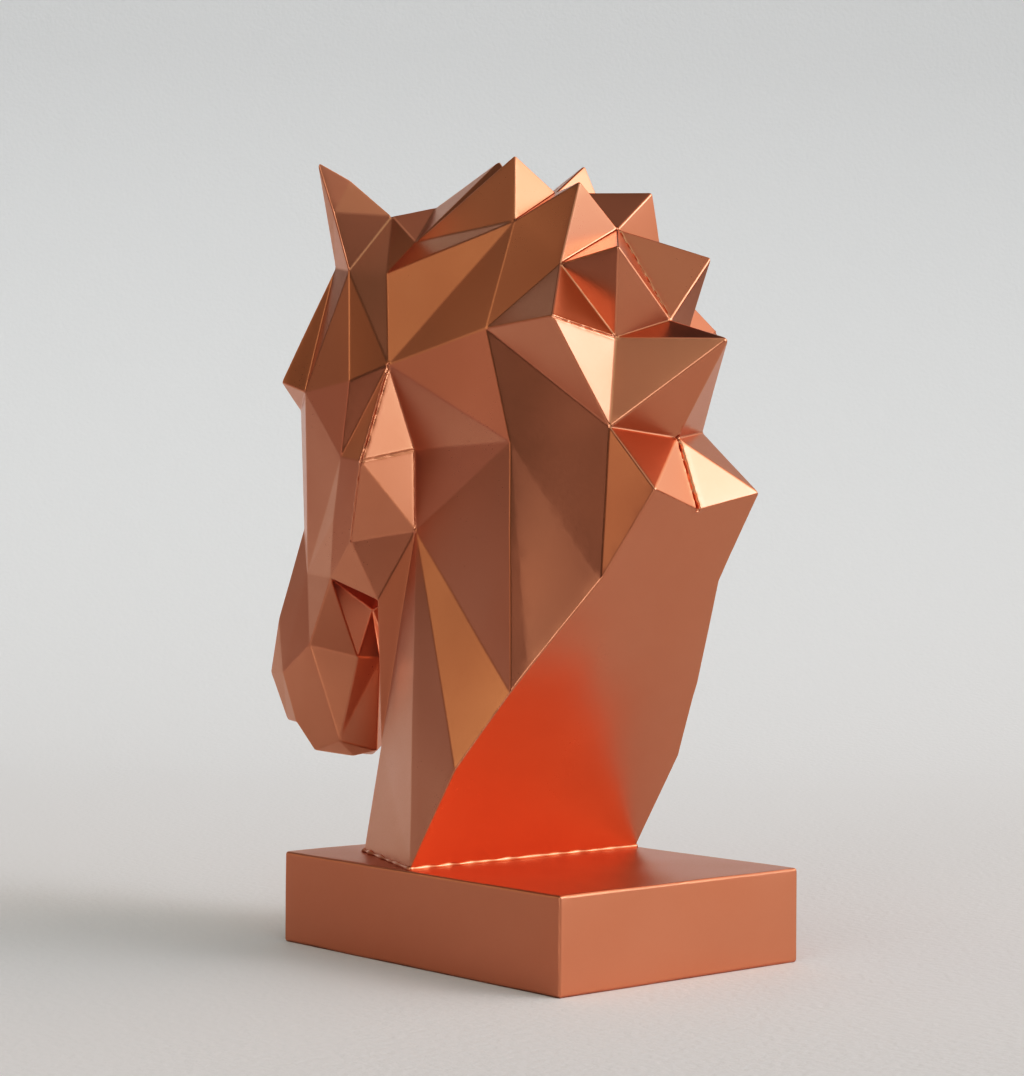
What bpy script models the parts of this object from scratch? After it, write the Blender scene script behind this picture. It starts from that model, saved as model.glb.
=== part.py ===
"""Faceted horse head on a slab plinth, a satin copper ornament about 220 mm tall.

Lengths are in metres. The horse looks along -Y, its left side is +X and +Z is up.
The origin is the middle of the plinth's underside. The bust is a mirror image about X = 0.
"""
import math

import bmesh
import bpy
from mathutils import Vector

# Driving dimensions
BUST_HEIGHT = 0.195        # foot of the neck to the tips of the ears
PLINTH_HEIGHT = 0.025
SIDE_MARGIN = 0.0015       # plinth left showing on each side of the foot
TOE_MARGIN = 0.0065        # plinth left showing in front of the foot
HEEL_MARGIN = 0.0600       # plinth left showing behind the foot
PLINTH_EDGE_ROUND = 0.0008
SEAT_GAP = 0.0003          # the bust stands this far clear of the plinth's top

# The back of the neck is one sawn face, which leans back more and more as it rises
CUT_LEAN = math.radians(32.0)   # from the upright, at the heel
CUT_SWEEP = 10.9                # hundredths of the bust's height that the bend adds at full height
CUT_BOTTOM = -7.0               # where the saw starts, in hundredths, just under the foot
CUT_TOP = 72.0                  # where it ends, just over the tails of the mane
CUT_STEPS = 16
CUT_WASTE = 0.0006              # how far the rough bust runs on past the cut
SEAM_REACH = 0.00005            # points this near the middle plane are welded to their twins

COPPER = (0.62, 0.20, 0.10, 1.0)
PLINTH_COPPER = (0.60, 0.18, 0.09, 1.0)

# Landmarks of the bust's left half in hundredths of its height: outward from the middle,
# backward from the heel of the foot, and up from the foot. Middle ones are 0 outward.
MIDDLE_LINE = {
    "forehead": (0.0, -40.3, 85.0),
    "brow_middle": (0.0, -45.8, 71.0),
    "bridge_middle": (0.0, -47.8, 62.0),
    "bridge_end": (0.0, -48.3, 45.5),
    "nostril_middle": (0.0, -53.8, 32.0),
    "nose_middle": (0.0, -55.8, 23.5),
    "lip_middle": (0.0, -52.8, 16.0),
    "mouth_middle": (0.0, -49.3, 16.5),
    "chin_middle": (0.0, -45.3, 12.0),
    "chin_back": (0.0, -34.4, 12.7),
    "muzzle_heel": (0.0, -33.7, 26.8),
    "jaw_middle": (0.0, -35.8, 34.0),
    "throat_middle": (0.0, -30.1, 36.5),
    "chest_middle": (0.0, -26.8, 16.0),
    "toe_middle": (0.0, -24.0, 0.0),
    "poll": (0.0, -21.3, 93.7),
    "forelock": (0.0, -7.2, 98.8),
    "trough_fore": (0.0, -0.4, 91.1),
    "trough_front": (0.0, 4.8, 92.9),
    "trough_middle": (0.0, 17.3, 86.6),
    "trough_back": (0.0, 27.5, 73.5),
    "tuft": (0.0, 38.0, 70.4),
    "nape": (0.0, 28.9, 57.9),
}
MANE = {
    "mane_root": (8.5, -22.2, 83.3),
    "crest_start": (6.0, -18.7, 87.7),
    "lock_front": (6.6, 3.6, 97.6),
    "lock_middle": (6.8, 17.0, 92.3),
    "lock_back": (8.7, 26.5, 82.6),
    "lock_side": (15.5, 21.2, 73.4),
    "dip_front": (9.2, 6.6, 87.9),
    "dip_middle": (9.8, 16.5, 81.1),
    "dip_back": (6.5, 23.8, 71.0),
    "dip_low": (8.7, 25.1, 59.1),
    "dip_side": (13.5, 5.7, 73.0),
}
NECK = {
    "neck_top": (11.8, -17.5, 69.5),
    "neck_side": (13.6, 10.9, 57.4),
    "latch_top": (9.1, -14.8, 57.3),
    "latch": (8.3, -15.3, 45.8),
    "throat_side": (9.5, -22.5, 35.7),
    "chest_side": (10.7, -19.9, 15.0),
    "toe_side": (13.5, -20.0, 0.0),
}
HEAD = {
    "ear_tip": (14.5, -31.3, 100.0),
    "ear_shoulder": (10.3, -28.7, 97.4),
    "ear_bend": (12.6, -29.8, 92.5),
    "ear_front": (8.1, -35.1, 85.2),
    "ear_side": (10.8, -28.3, 83.9),
    "ear_back": (5.6, -24.7, 92.2),
    "ear_inside": (3.2, -33.3, 88.0),
    "ear_hollow": (8.4, -29.4, 89.0),
    "brow": (12.7, -42.2, 68.2),
    "eye_front": (12.0, -37.2, 66.5),
    "eye_back": (13.6, -24.3, 67.4),
    "cheek": (12.9, -27.0, 56.5),
    "cheek_low": (11.3, -30.9, 47.5),
    "jaw_low": (9.7, -33.5, 38.8),
    "jaw_back": (13.8, -21.2, 55.7),
    "jaw_angle": (11.5, -26.4, 44.3),
    "bridge_top": (6.1, -46.2, 64.3),
    "bridge_low": (5.6, -45.8, 46.4),
    "bridge_side": (7.1, -42.8, 39.5),
    "nostril_top": (5.8, -51.9, 32.5),
    "muzzle_top": (8.3, -40.5, 28.7),
    "nostril": (7.1, -49.0, 24.2),
    "nose": (5.4, -54.5, 24.0),
    "muzzle_back": (3.1, -35.3, 26.9),
    "lip": (3.9, -52.0, 16.6),
    "mouth": (5.5, -47.5, 16.5),
    "chin_front": (4.3, -44.4, 12.4),
    "chin_side": (4.7, -37.6, 14.2),
    "chin_low": (1.8, -37.8, 11.8),
}

# Where facet edges meet the sawn back: outward and up. Backward is the saw's.
CUT_RAIL = {
    "heel_side": (21.3, 0.0),
    "cut_low": (21.0, 13.9),
    "cut_middle": (17.5, 24.4),
    "cut_high": (11.1, 39.1),
    "lock_tail": (9.6, 50.8),
    "fork": (0.0, 48.4),
}

# Facets as fans: the first name is the hub, and its rim is walked in order
FANS = (
    "crest_start poll forelock trough_fore lock_front",
    "trough_front trough_fore lock_front dip_front lock_middle trough_middle",
    "dip_front mane_root crest_start lock_front",
    "dip_middle dip_side dip_front lock_middle trough_middle lock_back dip_back lock_side dip_side",
    "trough_back trough_middle lock_back dip_back tuft",
    "lock_side dip_side dip_low dip_back",
    "tuft dip_back dip_low nape",
    "dip_low dip_side neck_side cut_high lock_tail nape",
    "nape lock_tail fork",
    "neck_top mane_root dip_front dip_side neck_side latch_top",
    "neck_side latch_top latch cut_middle cut_high",
    "latch throat_side chest_side heel_side cut_low cut_middle",
    "chest_side toe_side heel_side",
    "chest_side throat_side throat_middle chest_middle toe_middle toe_side",
    "throat_side latch jaw_angle jaw_low throat_middle",
    "jaw_back neck_top latch_top latch jaw_angle",
    "jaw_angle jaw_back cheek_low jaw_low",
    "jaw_low cheek_low bridge_side muzzle_top muzzle_back",
    "jaw_middle throat_middle jaw_low muzzle_back muzzle_heel",
    "ear_bend ear_front ear_tip ear_shoulder ear_back ear_side ear_front",
    "ear_hollow ear_front ear_tip ear_shoulder ear_back ear_inside ear_front",
    "ear_back ear_side mane_root crest_start poll ear_inside",
    "ear_inside ear_front forehead poll",
    "ear_side mane_root neck_top eye_back eye_front ear_front",
    "cheek eye_front eye_back neck_top jaw_back cheek_low bridge_side eye_front",
    "eye_front ear_front brow bridge_top bridge_low bridge_side",
    "brow ear_front forehead brow_middle",
    "bridge_top brow brow_middle bridge_middle bridge_end bridge_low",
    "nostril_top bridge_side bridge_low bridge_end nostril_middle nose_middle nose nostril bridge_side",
    "bridge_side muzzle_top nostril",
    "nostril muzzle_top mouth lip nose",
    "lip nose nose_middle lip_middle mouth_middle mouth",
    "chin_side muzzle_back muzzle_top mouth chin_front chin_low chin_back muzzle_heel muzzle_back",
    "chin_front mouth mouth_middle chin_middle chin_low",
    "chin_low chin_middle chin_back",
)

# Facet edges that run out through the sawn back, and where each comes from
CUT_EDGES = {
    "heel_side": ("toe_side",),
    "cut_low": ("latch",),
    "cut_middle": ("latch", "neck_side"),
    "cut_high": ("neck_side", "dip_low"),
    "lock_tail": ("dip_low", "nape"),
    "fork": ("nape",),
}

# What follows from them
SHARE = BUST_HEIGHT / 100.0
TOE = -MIDDLE_LINE["toe_middle"][1] * SHARE
FOOT_WIDTH = 2.0 * CUT_RAIL["heel_side"][0] * SHARE
PLINTH_WIDTH = FOOT_WIDTH + 2.0 * SIDE_MARGIN
PLINTH_LENGTH = TOE_MARGIN + TOE + HEEL_MARGIN
HEEL = Vector((0.0, PLINTH_LENGTH / 2.0 - HEEL_MARGIN, PLINTH_HEIGHT + SEAT_GAP))


def clear_scene():
    for old in list(bpy.data.objects):
        bpy.data.objects.remove(old, do_unlink=True)


def new_collection(name):
    group = bpy.data.collections.new(name)
    bpy.context.scene.collection.children.link(group)
    return group


def copper(name, colour, roughness):
    paint = bpy.data.materials.new(name)
    paint.use_nodes = True
    shader = paint.node_tree.nodes["Principled BSDF"]
    shader.inputs["Base Color"].default_value = colour
    shader.inputs["Metallic"].default_value = 1.0
    shader.inputs["Roughness"].default_value = roughness
    return paint


def mesh_object(name, bm, group, paint):
    mesh = bpy.data.meshes.new(name)
    bm.to_mesh(mesh)
    bm.free()
    mesh.materials.append(paint)
    made = bpy.data.objects.new(name, mesh)
    group.objects.link(made)
    return made


def cut_depth(up):
    """How far behind the heel the saw runs: the lean, plus a bend that grows as the height squared."""
    return up * math.tan(CUT_LEAN) + CUT_SWEEP * (up / 100.0) ** 2


def landmarks():
    """Every landmark of the left half in metres, measured from the middle of the heel."""
    on_the_cut = {name: (outward, cut_depth(up), up) for name, (outward, up) in CUT_RAIL.items()}
    shares = {**MIDDLE_LINE, **MANE, **NECK, **HEAD, **on_the_cut}
    return {name: Vector(place) * SHARE for name, place in shares.items()}


def run_past_cut(points):
    """Lengthen the edges that meet the sawn back, so that the saw has something to take off."""
    longer = dict(points)
    for name, roots in CUT_EDGES.items():
        way = sum(((points[name] - points[root]).normalized() for root in roots), Vector())
        longer[name] = points[name] + way.normalized() * CUT_WASTE
    return longer


def rough_half(points):
    """The left half as facets, open along the middle plane, with the waste behind the cut still on."""
    bm = bmesh.new()
    corner = {name: bm.verts.new(place) for name, place in points.items()}

    for fan in FANS:
        hub, *rim = fan.split()
        for first, second in zip(rim, rim[1:]):
            bm.faces.new((corner[hub], corner[first], corner[second]))

    # The waste behind the cut is closed straight across to the middle plane
    rail = ("heel_side", "cut_low", "cut_middle", "cut_high")
    middle = {name: bm.verts.new((0.0, *points[name].yz)) for name in rail}
    for low, high in zip(rail, rail[1:]):
        bm.faces.new((corner[low], corner[high], middle[high], middle[low]))
    bm.faces.new((corner["cut_high"], corner["fork"], middle["cut_high"]))
    bm.faces.new((corner["cut_high"], corner["lock_tail"], corner["fork"]))
    bm.faces.new((corner["heel_side"], middle["heel_side"], corner["toe_middle"], corner["toe_side"]))

    # On an open half the facets agree with each other, but may all point inwards
    bmesh.ops.recalc_face_normals(bm, faces=bm.faces)
    outwardness = sum(face.calc_center_median().x * face.normal.x * face.calc_area() for face in bm.faces)
    if outwardness < 0.0:
        bmesh.ops.reverse_faces(bm, faces=bm.faces)
    return bm


def cut_profile():
    """The saw's path in the middle plane, backward and up in metres, in equal steps of height."""
    climb = (CUT_TOP - CUT_BOTTOM) / CUT_STEPS
    heights = [CUT_BOTTOM + climb * step for step in range(CUT_STEPS + 1)]
    return [(cut_depth(up) * SHARE, up * SHARE) for up in heights]


def saw(group):
    """A block whose front is the sawn back, twice as wide as the foot and deeper than the bust."""
    rail = cut_profile()
    rear = rail[-1][0] + BUST_HEIGHT
    outline = [*rail, (rear, rail[-1][1]), (rear, rail[0][1])]
    bm = bmesh.new()
    sides = [[bm.verts.new((x, y, z)) for y, z in outline] for x in (-FOOT_WIDTH, FOOT_WIDTH)]
    for near, far in zip(range(len(outline)), [*range(1, len(outline)), 0]):
        bm.faces.new((sides[0][near], sides[0][far], sides[1][far], sides[1][near]))
    for side in sides:
        bm.faces.new(side)
    bmesh.ops.recalc_face_normals(bm, faces=bm.faces)

    mesh = bpy.data.meshes.new("back_saw")
    bm.to_mesh(mesh)
    bm.free()
    block = bpy.data.objects.new("back_saw", mesh)
    block.location = HEEL
    block.hide_render = True
    block.display_type = "WIRE"
    group.objects.link(block)
    return block


def horse_head(group, cutter):
    """The cast bust: half of it in facets, mirrored, then sawn off flat behind the neck."""
    bm = rough_half(run_past_cut(landmarks()))
    bust = mesh_object("horse_head", bm, group, copper("bust_copper", COPPER, 0.30))
    bust.location = HEEL

    mirror = bust.modifiers.new("right_half", "MIRROR")
    mirror.use_clip = True
    mirror.merge_threshold = SEAM_REACH

    cut = bust.modifiers.new("flat_back", "BOOLEAN")
    cut.operation = "DIFFERENCE"
    cut.object = cutter
    cut.solver = "EXACT"
    return bust


def plinth(group):
    """The slab under the bust, a plain block with its edges eased by the paint."""
    bm = bmesh.new()
    bmesh.ops.create_cube(bm, size=1.0)
    bmesh.ops.scale(bm, vec=(PLINTH_WIDTH, PLINTH_LENGTH, PLINTH_HEIGHT), verts=bm.verts)
    bmesh.ops.translate(bm, vec=(0.0, 0.0, PLINTH_HEIGHT / 2.0), verts=bm.verts)
    slab = mesh_object("plinth", bm, group, copper("plinth_copper", PLINTH_COPPER, 0.28))

    eased = slab.modifiers.new("eased_edges", "BEVEL")
    eased.width = PLINTH_EDGE_ROUND
    eased.segments = 3
    return slab


clear_scene()
parts = new_collection("horse_head_sculpture")
cutters = new_collection("cutters")
horse_head(parts, saw(cutters))
plinth(parts)
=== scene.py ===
"""Looks of the faceted copper horse head: its paint, its plinth, the seam between them, and the light.

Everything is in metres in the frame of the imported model: the horse looks along -Y, its left side is +X.
"""
import math

import bmesh
import bpy
import numpy as np
from mathutils import Matrix


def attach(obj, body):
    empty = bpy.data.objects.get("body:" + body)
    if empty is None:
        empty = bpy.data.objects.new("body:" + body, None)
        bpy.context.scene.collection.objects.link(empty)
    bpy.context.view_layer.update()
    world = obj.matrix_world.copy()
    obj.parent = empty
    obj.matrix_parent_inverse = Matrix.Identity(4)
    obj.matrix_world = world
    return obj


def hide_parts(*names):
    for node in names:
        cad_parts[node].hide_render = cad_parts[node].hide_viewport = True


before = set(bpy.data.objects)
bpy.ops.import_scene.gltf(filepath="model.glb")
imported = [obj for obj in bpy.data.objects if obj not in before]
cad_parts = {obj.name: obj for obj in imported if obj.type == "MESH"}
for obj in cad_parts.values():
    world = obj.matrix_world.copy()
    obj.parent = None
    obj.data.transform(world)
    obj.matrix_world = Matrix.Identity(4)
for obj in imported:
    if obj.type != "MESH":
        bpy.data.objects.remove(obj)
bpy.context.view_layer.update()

# The bust is one casting with flat facets, from the ears to the sawn back of the neck. It was sanded
# and sprayed with metallic copper. The paint rounds every ridge, fills every valley a little, and
# has pooled into beads or left a fine crack along a few of the edges.
CORNER_MERGE = 0.00002             # corners nearer than this are one corner
SHORT_EDGE = 0.0007                # corners nearer than this would leave no room to round the edges
FLAT_TURN = math.radians(0.4)      # facets that turn less than this are one facet
CREASE_TURN = math.radians(3.5)    # edges that turn less than this have no ridge
EDGE_ROUND = 0.00045               # how far the round of an edge reaches over each facet
EDGE_STEPS = 3
FACET_MESH = 0.0045                # longest edge in the middle of a facet
LINE_MESH = 0.00050                # longest edge beside a bead or a crack
LINE_REACH = 0.0008                # how far from such a line the mesh stays fine
SPLIT_ROUNDS = 9
WAVE_LENGTH = 0.030                # unevenness left by the sanding
WAVE_HEIGHT = 0.00007
WAVES = 9


def whole_facets(node):
    """A CAD node's loose triangles as facets: equal corners are merged and flat edges dissolved."""
    solid = bmesh.new()
    solid.from_mesh(node.data)
    bmesh.ops.remove_doubles(solid, verts=solid.verts, dist=CORNER_MERGE)
    bmesh.ops.dissolve_limit(solid, angle_limit=FLAT_TURN, verts=solid.verts, edges=solid.edges)
    return solid


def round_edges(solid, width, steps):
    """Gives each edge that turns by more than the crease angle a round of the given width."""
    creases = [edge for edge in solid.edges if edge.is_manifold and edge.calc_face_angle() > CREASE_TURN]
    bmesh.ops.bevel(solid, geom=creases, offset=width, offset_type="OFFSET", segments=steps,
                    profile=0.5, affect="EDGES", clamp_overlap=True)


def arrays_of(solid):
    """The corners and triangles of a bmesh as two arrays. The bmesh is freed."""
    bmesh.ops.triangulate(solid, faces=solid.faces)
    mesh = bpy.data.meshes.new("triangles")
    solid.to_mesh(mesh)
    solid.free()
    points = np.empty(len(mesh.vertices) * 3)
    mesh.vertices.foreach_get("co", points)
    corners = np.empty(len(mesh.polygons) * 3, dtype=np.int32)
    mesh.loops.foreach_get("vertex_index", corners)
    bpy.data.meshes.remove(mesh)
    return points.reshape(-1, 3), corners.reshape(-1, 3).astype(np.int64)


def split_long(points, triangles, limit):
    """One round of splitting: an edge longer than its limit gets a middle point.

    A triangle with one such edge becomes two, with two becomes three and with three becomes four.
    """
    sides = np.sort(triangles[:, [[0, 1], [1, 2], [2, 0]]], axis=2).reshape(-1, 2)
    edges, place = np.unique(sides, axis=0, return_inverse=True)
    ends = points[edges]
    middles = ends.mean(axis=1)
    is_long = np.linalg.norm(ends[:, 1] - ends[:, 0], axis=1) > limit(middles)
    number = np.full(len(edges), -1)
    number[is_long] = len(points) + np.arange(is_long.sum())
    points = np.vstack([points, middles[is_long]])

    # Each triangle is turned so that its split edges come first: corners a b c, middles of ab bc ca
    middle = number[place.reshape(-1, 3)]
    split = middle >= 0
    count = split.sum(axis=1)
    turn = np.where(count == 1, split.argmax(axis=1), np.where(count == 2, (~split).argmax(axis=1) + 1, 0))
    order = (np.arange(3) + turn[:, None]) % 3
    a, b, c = np.take_along_axis(triangles, order, axis=1).T
    ab, bc, ca = np.take_along_axis(middle, order, axis=1).T

    one, two, three = count == 1, count == 2, count == 3
    pieces = [triangles[count == 0]]
    pieces += [np.stack(trio, axis=1)[one] for trio in ((a, ab, c), (ab, b, c))]
    pieces += [np.stack(trio, axis=1)[two] for trio in ((ab, b, bc), (a, ab, bc), (a, bc, c))]
    quarters = ((a, ab, ca), (ab, b, bc), (ca, bc, c), (ab, bc, ca))
    pieces += [np.stack(trio, axis=1)[three] for trio in quarters]
    return points, np.concatenate(pieces), bool(is_long.any())


def split_all(points, triangles, limit):
    """Rounds of splitting until no edge is longer than its limit, or the rounds run out."""
    for _ in range(SPLIT_ROUNDS):
        points, triangles, more = split_long(points, triangles, limit)
        if not more:
            break
    return points, triangles


def corner_normals(points, triangles):
    """At each point the mean of its triangles' normals, weighted by their areas."""
    a, b, c = points[triangles].transpose(1, 0, 2)
    across = np.cross(b - a, c - a)
    normals = np.zeros_like(points)
    for corner in range(3):
        np.add.at(normals, triangles[:, corner], across)
    return normals / np.maximum(np.linalg.norm(normals, axis=1, keepdims=True), 1e-20)


def unevenness(points, length, seed):
    """A smooth field, mostly between -1 and 1: the sum of sine waves of one length in random

    directions, over the square root of their number.
    """
    dice = np.random.default_rng(seed)
    ways = dice.normal(size=(WAVES, 3))
    ways *= (2.0 * math.pi / length) / np.linalg.norm(ways, axis=1, keepdims=True)
    phases = dice.uniform(0.0, 2.0 * math.pi, WAVES)
    return np.sin(points @ ways.T + phases).sum(axis=1) / math.sqrt(WAVES)


def from_line(points, start, end):
    """For each point its distance from the straight line between two ends."""
    way = end - start
    share = np.clip((points - start) @ way / (way @ way), 0.0, 1.0)
    return np.linalg.norm(points - start - share[:, None] * way, axis=1)


def object_from(name, points, triangles, normals):
    """An object, shaded smooth by the given normals, from arrays of points and triangles."""
    mesh = bpy.data.meshes.new(name)
    mesh.from_pydata(points, [], triangles.tolist())
    mesh.polygons.foreach_set("use_smooth", np.ones(len(triangles), dtype=bool))
    mesh.normals_split_custom_set_from_vertices(normals)
    made = bpy.data.objects.new(name, mesh)
    bpy.context.scene.collection.objects.link(made)
    return made


# Corners of the casting that the marks run between, on the horse's left side or in the middle
NECK_TOP = (0.0230, -0.0375, 0.1608)
JAW_BACK = (0.0269, -0.0447, 0.1339)
JAW_ANGLE = (0.0224, -0.0548, 0.1117)
LATCH_TOP = (0.0177, -0.0322, 0.1370)
LATCH = (0.0162, -0.0332, 0.1146)
NAPE = (0.0, 0.0530, 0.1382)
FORK = (0.0, 0.0606, 0.1197)
TROUGH_MIDDLE = (0.0, 0.0304, 0.1942)
TROUGH_BACK = (0.0, 0.0503, 0.1686)
LOCK_SIDE = (0.0302, 0.0380, 0.1684)
DIP_BACK = (0.0127, 0.0431, 0.1637)

# Marks in the paint: where they run, how far they stand out or sink in, and how wide they are
MARKS = (
    (NECK_TOP, JAW_BACK, -0.00055, 0.00040),
    (JAW_BACK, JAW_ANGLE, -0.00030, 0.00035),
    (JAW_BACK, LATCH_TOP, -0.00022, 0.00025),
    (LATCH_TOP, LATCH, -0.00025, 0.00025),
    (NAPE, FORK, -0.00090, 0.00065),
    (TROUGH_MIDDLE, TROUGH_BACK, -0.00040, 0.00045),
    (LOCK_SIDE, DIP_BACK, -0.00030, 0.00040),
)
LIP = 1.1837                       # the larger, the higher the paint stands up beside a crack
MARK_SWELL = 0.45                  # the marks swell and thin out by about this share of their depth
BEAD_LENGTH = 0.0022               # and over about this length


def nearest_corner(corners, place):
    """The casting's own corner that lies nearest to a place."""
    return corners[np.linalg.norm(corners - np.array(place), axis=1).argmin()]


def mark_lines(corners):
    """Each mark, and its twin on the right side, as a start, an end, a depth and a width."""
    lines = []
    for start, end, height, width in MARKS:
        ends = [nearest_corner(corners, place) for place in (start, end)]
        lines.append((*ends, height, width))
        if max(abs(ends[0][0]), abs(ends[1][0])) > CORNER_MERGE:
            lines.append((ends[0] * (-1, 1, 1), ends[1] * (-1, 1, 1), height, width))
    return lines


def mark_relief(points, lines):
    """Each mark is a trough with a lip on both sides: its depth times (1 - lip * u squared) times

    exp(-u squared), where u is the distance from the line over the mark's width. The depth swells.
    """
    relief = np.zeros(len(points))
    swell = 1.0 + MARK_SWELL * unevenness(points, BEAD_LENGTH, seed=5)
    for start, end, height, width in lines:
        u2 = (from_line(points, start, end) / width) ** 2
        relief += height * swell * (1.0 - LIP * u2) * np.exp(-u2)
    return relief


def bust_casting(node):
    """The CAD node's facets with rounded edges, split finely enough for the waves and the marks."""
    solid = whole_facets(node)
    corners = np.array([vertex.co for vertex in solid.verts])
    lines = mark_lines(corners)
    bmesh.ops.remove_doubles(solid, verts=solid.verts, dist=SHORT_EDGE)
    round_edges(solid, EDGE_ROUND, EDGE_STEPS)
    points, triangles = arrays_of(solid)

    def limit(middles):
        nearest = np.min([from_line(middles, line[0], line[1]) for line in lines], axis=0)
        fine = np.clip((nearest - LINE_REACH) / FACET_MESH, 0.0, 1.0)
        return LINE_MESH + (FACET_MESH - LINE_MESH) * fine

    points, triangles = split_all(points, triangles, limit)
    normals = corner_normals(points, triangles)
    height = WAVE_HEIGHT * unevenness(points, WAVE_LENGTH, seed=3) + mark_relief(points, lines)
    points = points + normals * height[:, None]
    return object_from("bust_casting", points, triangles, corner_normals(points, triangles))


class Signal:
    """A socket of a shader node. Arithmetic on it adds the Math nodes that work it out."""

    def __init__(self, paint, socket):
        self.paint = paint
        self.socket = socket

    def math(self, operation, *others):
        return self.paint.add("ShaderNodeMath", {"operation": operation}, [self, *others])

    def __add__(self, other):
        return self.math("ADD", other)

    def __mul__(self, other):
        return self.math("MULTIPLY", other)

    def __sub__(self, other):
        return self.math("SUBTRACT", other)

    def __rsub__(self, other):
        return self.paint.add("ShaderNodeMath", {"operation": "SUBTRACT"}, [other, self])

    __radd__ = __add__
    __rmul__ = __mul__


class Paint:
    """A node tree under construction, of a material or of the world."""

    def __init__(self, owner):
        owner.use_nodes = True
        self.tree = owner.node_tree
        self.owner = owner

    def node(self, kind):
        """The node of a kind that a new tree already holds."""
        return next(node for node in self.tree.nodes if node.bl_idname == kind)

    def feed(self, socket, value):
        """Links a signal to a socket, or sets the socket to a plain value."""
        if isinstance(value, Signal):
            self.tree.links.new(value.socket, socket)
        else:
            socket.default_value = value

    def add(self, kind, settings, values, output=0):
        """Adds a node: its settings first, then its sockets, in a list by place or a dict by name."""
        node = self.tree.nodes.new(kind)
        for name, setting in settings.items():
            setattr(node, name, setting)
        pairs = values.items() if isinstance(values, dict) else enumerate(values)
        for place, value in pairs:
            self.feed(node.inputs[place], value)
        return Signal(self, node.outputs[output])

    def mix(self, share, first, second):
        """The first colour where share is 0, the second where it is 1."""
        return self.add("ShaderNodeMix", {"data_type": "RGBA"}, {0: share, 6: first, 7: second}, output=2)

    def noise(self, place, scale, detail=2.0, roughness=0.5):
        values = {"Vector": place, "Scale": scale, "Detail": detail, "Roughness": roughness}
        return self.add("ShaderNodeTexNoise", {}, values)


BUST_COPPER = (0.67, 0.32, 0.215, 1.0)
BUST_COPPER_RED = (0.64, 0.285, 0.18, 1.0)
BUST_ROUGHNESS = 0.31
PEEL_SCALE = 900.0                 # the orange peel of the spray, a little over 1 mm across
PEEL_DEPTH = 0.000004
PEEL_STRENGTH = 0.6
FLAKE_SCALE = 2250.0               # the metal flakes in the spray
FLAKE_GLOSS = 0.10                 # how much the roughness changes from flake to flake
CLOUD_SCALE = 32.0                 # soft clouds a few centimetres across
CLOUD_GLOSS = 0.08
COAT = 0.15                        # the clear binder that lies over the metal flakes
COAT_ROUGHNESS = 0.25


def copper_paint(name, colour, redder, roughness):
    """Satin copper spray: a metal whose red drifts in soft clouds, with orange peel and fine flake."""
    paint = Paint(bpy.data.materials.new(name))
    place = paint.add("ShaderNodeTexCoord", {}, {}, output="Object")
    cloud = paint.noise(place, CLOUD_SCALE, detail=3.0)
    flake = paint.noise(place, FLAKE_SCALE, detail=1.0)
    peel = paint.noise(place, PEEL_SCALE, detail=1.0)
    shader = paint.node("ShaderNodeBsdfPrincipled")
    paint.feed(shader.inputs["Base Color"], paint.mix(cloud, colour, redder))
    paint.feed(shader.inputs["Metallic"], 1.0)
    paint.feed(shader.inputs["Coat Weight"], COAT)
    paint.feed(shader.inputs["Coat Roughness"], COAT_ROUGHNESS)
    gloss = (flake - 0.5) * FLAKE_GLOSS + (cloud - 0.5) * CLOUD_GLOSS
    paint.feed(shader.inputs["Roughness"], roughness + gloss)
    relief = {"Strength": PEEL_STRENGTH, "Distance": PEEL_DEPTH, "Height": peel}
    paint.feed(shader.inputs["Normal"], paint.add("ShaderNodeBump", {}, relief))
    return paint.owner


bust = bust_casting(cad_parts["horse_head"])
bust_paint = copper_paint("bust_copper_paint", BUST_COPPER, BUST_COPPER_RED, BUST_ROUGHNESS)
bust.data.materials.append(bust_paint)
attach(bust, "root")
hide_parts("horse_head")

# The plinth is a plain slab, cast and sprayed like the bust. Its edges are rounded by sanding and
# paint, and its faces are flat but for the same slight unevenness.
PLINTH_COPPER = (0.68, 0.32, 0.215, 1.0)
PLINTH_COPPER_RED = (0.65, 0.285, 0.18, 1.0)
PLINTH_ROUGHNESS = 0.38


def plinth_slab(node):
    """The CAD slab, split and made slightly uneven, with its underside left flat."""
    points, triangles = arrays_of(whole_facets(node))
    points, triangles = split_all(points, triangles, lambda middles: FACET_MESH)
    normals = corner_normals(points, triangles)
    height = WAVE_HEIGHT * unevenness(points, WAVE_LENGTH, seed=8)
    height[points[:, 2] < CORNER_MERGE] = 0.0
    points = points + normals * height[:, None]
    points[:, 2] = np.maximum(points[:, 2], 0.0)
    return object_from("plinth_slab", points, triangles, corner_normals(points, triangles))


slab = plinth_slab(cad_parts["plinth"])
slab_paint = copper_paint("plinth_copper_paint", PLINTH_COPPER, PLINTH_COPPER_RED, PLINTH_ROUGHNESS)
slab.data.materials.append(slab_paint)
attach(slab, "root")
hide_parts("plinth")

# The seam is the glue and paint that were squeezed out where the bust stands on the plinth: one
# thin bead all round the foot, thicker and thinner by turns, under the same spray.
SEAM_THICK = 0.00062
SEAM_STEP = 0.0005
SEAM_SIDES = 10
SEAM_SWELL = 0.0060                # the bead is thicker and thinner over about this length
SEAM_UNEVEN = 0.35                 # by about this share


def foot_outline(node):
    """The corners of the bust's flat underside, in order round it, found by their angle."""
    points = np.array([vertex.co for vertex in node.data.vertices])
    foot = np.unique(points[points[:, 2] < points[:, 2].min() + CORNER_MERGE].round(5), axis=0)
    middle = foot.mean(axis=0)
    return foot[np.argsort(np.arctan2(foot[:, 1] - middle[1], foot[:, 0] - middle[0]))]


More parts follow.
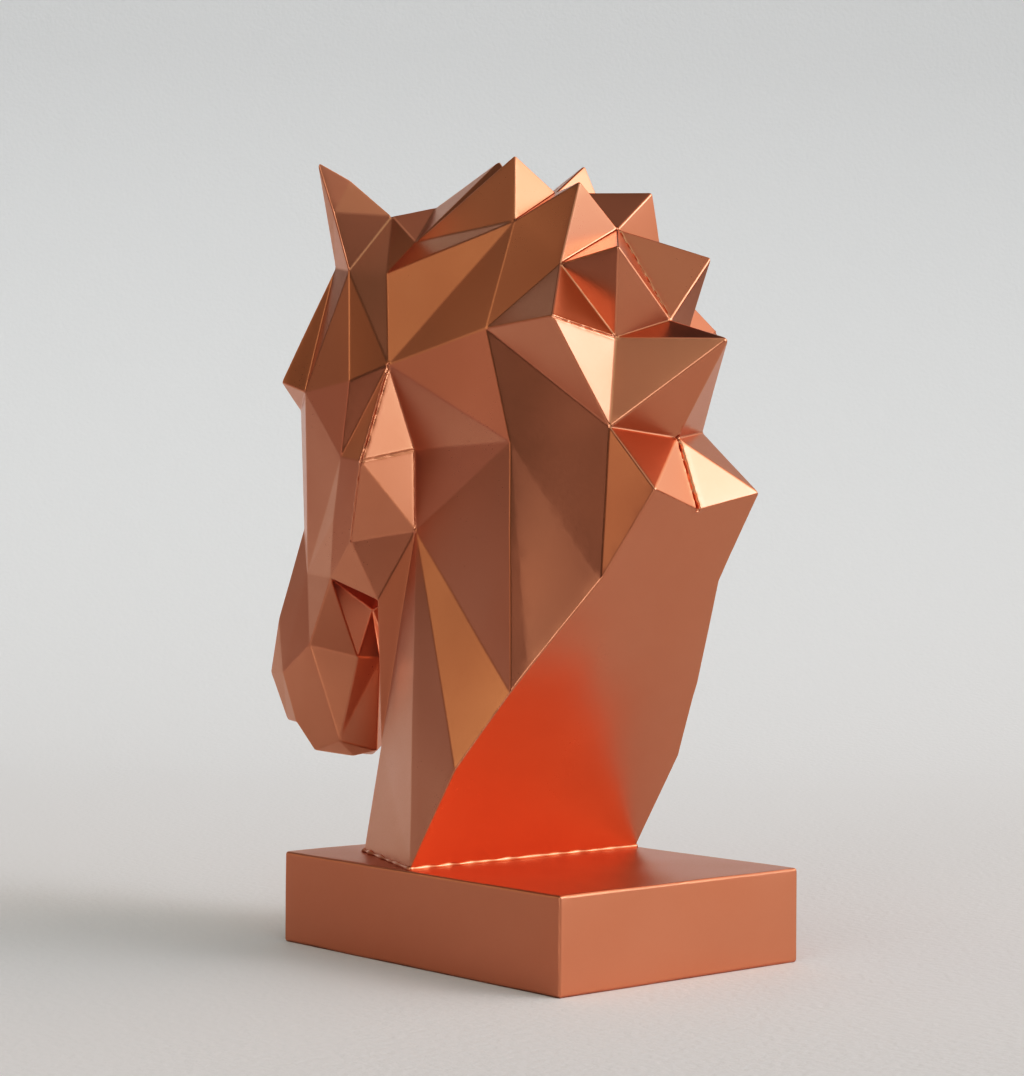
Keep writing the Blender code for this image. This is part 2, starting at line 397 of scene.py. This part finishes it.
def seam_bead(outline):
    """A tube along the outline: at each step a ring of radius thickness * (1 + swell), half sunk."""
    following = np.roll(outline, -1, axis=0)
    runs = np.linalg.norm(following - outline, axis=1)
    path = np.concatenate([
        start + (end - start) * np.arange(0.0, 1.0, SEAM_STEP / run)[:, None]
        for start, end, run in zip(outline, following, runs) if run > SEAM_STEP])
    way = np.roll(path, -1, axis=0) - np.roll(path, 1, axis=0)
    way /= np.linalg.norm(way, axis=1, keepdims=True)
    outward = np.cross(way, (0.0, 0.0, 1.0))
    thickness = SEAM_THICK * (1.0 + SEAM_UNEVEN * unevenness(path, SEAM_SWELL, seed=11))
    angle = np.arange(SEAM_SIDES) * 2.0 * math.pi / SEAM_SIDES
    ring = np.cos(angle)[None, :, None] * outward[:, None, :]
    ring = ring + np.sin(angle)[None, :, None] * np.array((0.0, 0.0, 1.0))
    points = path[:, None, :] + ring * thickness[:, None, None]

    steps, sides = np.meshgrid(np.arange(len(path)), np.arange(SEAM_SIDES), indexing="ij")
    here = steps * SEAM_SIDES + sides
    on = (steps + 1) % len(path) * SEAM_SIDES + sides
    beside = steps * SEAM_SIDES + (sides + 1) % SEAM_SIDES
    across = (steps + 1) % len(path) * SEAM_SIDES + (sides + 1) % SEAM_SIDES
    triangles = np.concatenate([np.stack(trio, axis=-1).reshape(-1, 3)
                                for trio in ((here, on, across), (here, across, beside))])
    points = points.reshape(-1, 3)
    return object_from("seam_bead", points, triangles, corner_normals(points, triangles))


bead = seam_bead(foot_outline(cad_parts["horse_head"]))
bead.data.materials.append(bust_paint)
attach(bead, "root")

# The floor is a sheet of pale paper under the sculpture, with a fine grain. It runs back flat and
# then curves up behind, square to the way the camera looks.
CAMERA_AZIMUTH = 48.606            # degrees from +X to +Y
PAPER_COLOUR = (0.78, 0.78, 0.79, 1.0)
PAPER_NEAR = 1.0
PAPER_FAR = -0.5
PAPER_HALF_WIDTH = 0.75
PAPER_CURVE = 0.45
PAPER_TOP = 1.2
PAPER_CURVE_STEPS = 24
PAPER_ROUGHNESS = 0.75
PAPER_GRAIN_SCALE = 420.0
PAPER_GRAIN_DEPTH = 0.0006
PAPER_GRAIN_STRENGTH = 0.35


def direction(azimuth, elevation):
    """The unit vector towards an azimuth from +X to +Y and an elevation, both in degrees."""
    a, e = math.radians(azimuth), math.radians(elevation)
    return np.array((math.cos(a) * math.cos(e), math.sin(a) * math.cos(e), math.sin(e)))


def paper_sheet():
    """A profile swept sideways: level to the far end, a quarter circle up, and on straight to the top."""
    back = direction(CAMERA_AZIMUTH, 0.0)
    side = np.cross((0.0, 0.0, 1.0), back)
    turn = np.linspace(0.0, math.pi / 2.0, PAPER_CURVE_STEPS)
    along = np.concatenate([[PAPER_NEAR], PAPER_FAR - PAPER_CURVE * np.sin(turn), [PAPER_FAR - PAPER_CURVE]])
    height = np.concatenate([[0.0], PAPER_CURVE * (1.0 - np.cos(turn)), [PAPER_TOP]])
    rail = along[:, None] * back + height[:, None] * np.array((0.0, 0.0, 1.0))
    left, right = rail + side * PAPER_HALF_WIDTH, rail - side * PAPER_HALF_WIDTH
    points = np.concatenate([left, right])
    first = np.arange(len(rail) - 1)
    second = first + len(rail)
    triangles = np.concatenate([np.stack((first, first + 1, second + 1), axis=1),
                                np.stack((first, second + 1, second), axis=1)])
    return object_from("paper_floor", points, triangles, corner_normals(points, triangles))


paper = Paint(bpy.data.materials.new("pale_paper"))
paper_place = paper.add("ShaderNodeTexCoord", {}, {}, output="Object")
paper_shader = paper.node("ShaderNodeBsdfPrincipled")
paper.feed(paper_shader.inputs["Base Color"], PAPER_COLOUR)
paper.feed(paper_shader.inputs["Roughness"], PAPER_ROUGHNESS)
paper_grain = paper.noise(paper_place, PAPER_GRAIN_SCALE)
paper_relief = {"Strength": PAPER_GRAIN_STRENGTH, "Distance": PAPER_GRAIN_DEPTH, "Height": paper_grain}
paper.feed(paper_shader.inputs["Normal"], paper.add("ShaderNodeBump", {}, paper_relief))
floor = paper_sheet()
floor.data.materials.append(paper.owner)

# The light is soft and comes from all round: one bright patch on the right, a smaller one beside the
# camera, and dimmer warm, cream and grey ones that the flat facets pick up one by one.
CONTRAST = 0.9                     # the camera makes darks a little darker and lights a little lighter
TONE_STEPS = (0.25, 0.50, 0.75, 0.90)
ALL_CHANNELS = 3                   # the place of the joint curve after those of red, green and blue


def linear(shade):
    """The light of a shade on the screen: ((shade + 0.055) / 1.055) to the power of 2.4."""
    return ((shade + 0.055) / 1.055) ** 2.4


def contrasted(shade):
    """A shade plus contrast * shade * (1 - shade) * (2 * shade - 1)."""
    return shade + CONTRAST * shade * (1.0 - shade) * (2.0 * shade - 1.0)


scene_view = bpy.context.scene.view_settings
scene_view.view_transform = "Standard"
scene_view.use_curve_mapping = True
for step in TONE_STEPS:
    scene_view.curve_mapping.curves[ALL_CHANNELS].points.new(linear(step), linear(contrasted(step)))
scene_view.curve_mapping.update()

# Azimuth and elevation of each soft patch of light, how narrow it is, and its colour
GLOWS = {
    "key": (120.0, 28.0, 30.0, (3.90, 3.85, 3.90)),
    "key_near_edge": (96.0, 22.0, 14.0, (1.20, 1.18, 1.25)),
    "key_warm_top": (144.0, 45.0, 12.0, (1.15, 0.82, 0.70)),
    "key_far_edge": (168.0, 22.0, 14.0, (1.15, 0.95, 0.85)),
    "key_foot": (132.0, 1.0, 60.0, (0.75, 0.72, 0.72)),
    "front_fill": (12.0, 8.0, 45.0, (2.30, 2.20, 2.10)),
    "front_fill_foot": (12.0, -4.0, 45.0, (1.70, 1.70, 1.70)),
    "cream_card": (-52.0, 20.0, 45.0, (1.06, 0.98, 0.72)),
    "warm_card": (-52.0, -4.0, 45.0, (0.60, 0.48, 0.48)),
    "grey_card": (-84.0, -3.0, 45.0, (0.55, 0.50, 0.47)),
    "cool_card": (-100.0, 32.0, 45.0, (0.70, 0.80, 0.75)),
    "high_fill": (36.0, 45.0, 12.0, (0.50, 0.72, 0.66)),
    "side_fill": (60.0, 32.0, 45.0, (0.72, 0.69, 0.68)),
    "top_fill": (0.0, 70.0, 10.0, (0.59, 0.58, 0.56)),
}
AMBIENT = (0.02, 0.02, 0.02)
PALE_SURROUND = (0.50, 0.50, 0.51, 1.0)    # what the camera sees past the paper

world = bpy.data.worlds.new("soft_light")
bpy.context.scene.world = world
glow = Paint(world)
way = glow.add("ShaderNodeTexCoord", {}, {}, output="Generated")
light = AMBIENT
for azimuth, elevation, narrowness, colour in GLOWS.values():
    aim = tuple(direction(azimuth, elevation))
    nearness = glow.add("ShaderNodeVectorMath", {"operation": "DOT_PRODUCT"}, [way, aim], output="Value")
    strength = ((nearness - 1.0) * narrowness).math("EXPONENT")
    patch = glow.add("ShaderNodeVectorMath", {"operation": "SCALE"}, {"Vector": colour, "Scale": strength})
    light = glow.add("ShaderNodeVectorMath", {"operation": "ADD"}, [light, patch])
seen = glow.add("ShaderNodeLightPath", {}, {}, output="Is Camera Ray")
glow.feed(glow.node("ShaderNodeBackground").inputs["Color"], glow.mix(seen, light, PALE_SURROUND))

# The camera stands level with the neck, behind the horse's left shoulder, and looks up by less than
# a degree.
CAMERA_PLACE = (0.43371, 0.48115, 0.10553)
CAMERA_ELEVATION = -0.626          # degrees
CAMERA_ROLL = 0.453
LENS = 79.34                       # mm
SENSOR = 36.0                      # mm, along the frame's long side

eye = bpy.data.objects.new("photo_camera", bpy.data.cameras.new("photo_camera"))
eye.data.lens = LENS
eye.data.sensor_width = SENSOR
backwards = direction(CAMERA_AZIMUTH, CAMERA_ELEVATION)
level = direction(CAMERA_AZIMUTH + 90.0, 0.0)
upright = np.cross(backwards, level)
roll = math.radians(CAMERA_ROLL)
pose = np.eye(4)
pose[:3, 0] = math.cos(roll) * level + math.sin(roll) * upright
pose[:3, 1] = math.cos(roll) * upright - math.sin(roll) * level
pose[:3, 2] = backwards
pose[:3, 3] = CAMERA_PLACE
eye.matrix_world = Matrix(pose)
bpy.context.scene.collection.objects.link(eye)
bpy.context.scene.camera = eye
